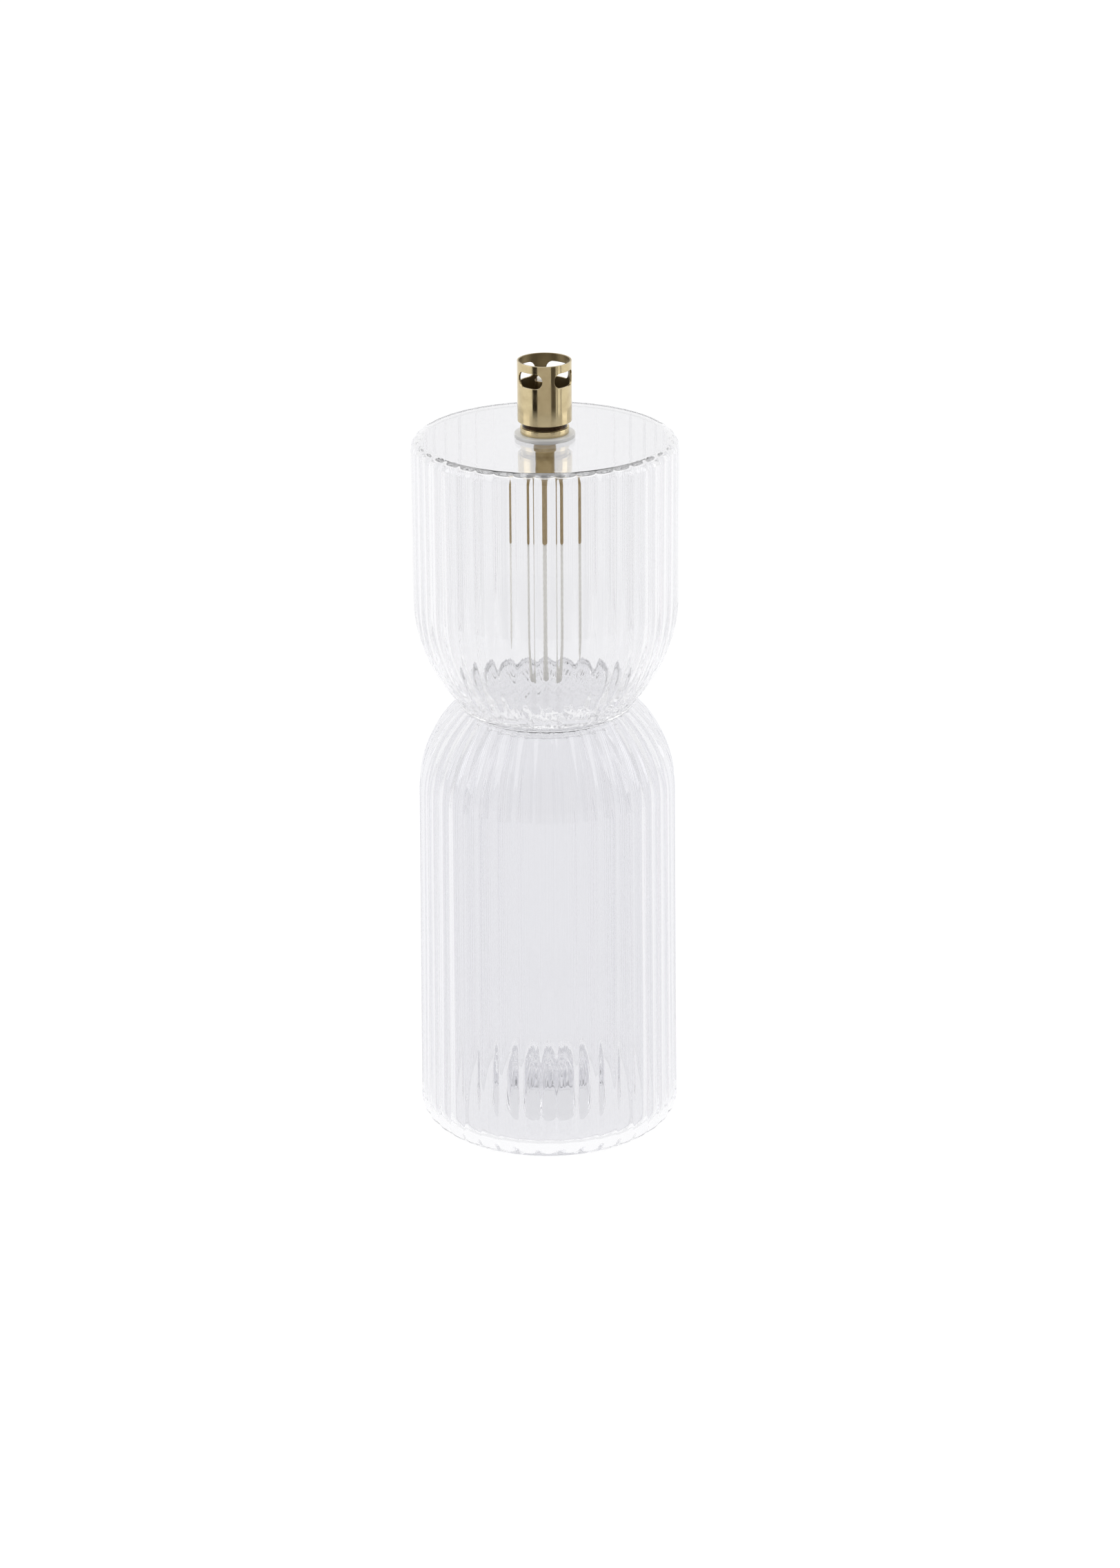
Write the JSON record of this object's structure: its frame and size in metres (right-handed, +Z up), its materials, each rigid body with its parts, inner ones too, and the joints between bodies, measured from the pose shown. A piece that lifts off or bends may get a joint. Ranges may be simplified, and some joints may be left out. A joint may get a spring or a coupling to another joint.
{
  "type": "oil lamp",
  "caption": "Table oil lamp: fluted clear glass bowl on a hollow fluted glass foot, pinched at the waist, with a small brass burner and a hanging fibre wick.",
  "frame": {"origin": "centre of the foot's resting face", "axes": "+Z up along the lamp's axis, from the foot to the burner"},
  "size_m": [0.0898, 0.0898, 0.2733],
  "materials": {
    "bowl_glass": "clear, polished, fluted outside",
    "foot_glass": "clear, polished, fluted outside",
    "silicone": "translucent, smooth",
    "brass": "polished",
    "glass_fibre": "braided, matt white"
  },
  "bodies": {
    "glass": {"glass_bowl": "bowl_glass", "glass_foot": "foot_glass"},
    "burner": {"sealing_gasket": "silicone", "burner_base": "brass", "wick_tube": "brass"},
    "cap": {"burner_cap": "brass"},
    "wick": {"wick_head": "glass_fibre", "wick_tail": "glass_fibre"}
  },
  "joints": [
    {"name": "burner_lift", "type": "slide", "parent": "glass", "child": "burner", "axis": [0, 0, 1], "range_m": [0, 0.1]},
    {"name": "cap_lift", "type": "slide", "parent": "burner", "child": "cap", "axis": [0, 0, 1], "range_m": [0, 0.03]},
    {"name": "wick_feed", "type": "slide", "parent": "burner", "child": "wick", "axis": [0, 0, 1], "range_m": [-0.0015, 0.003]}
  ]
}
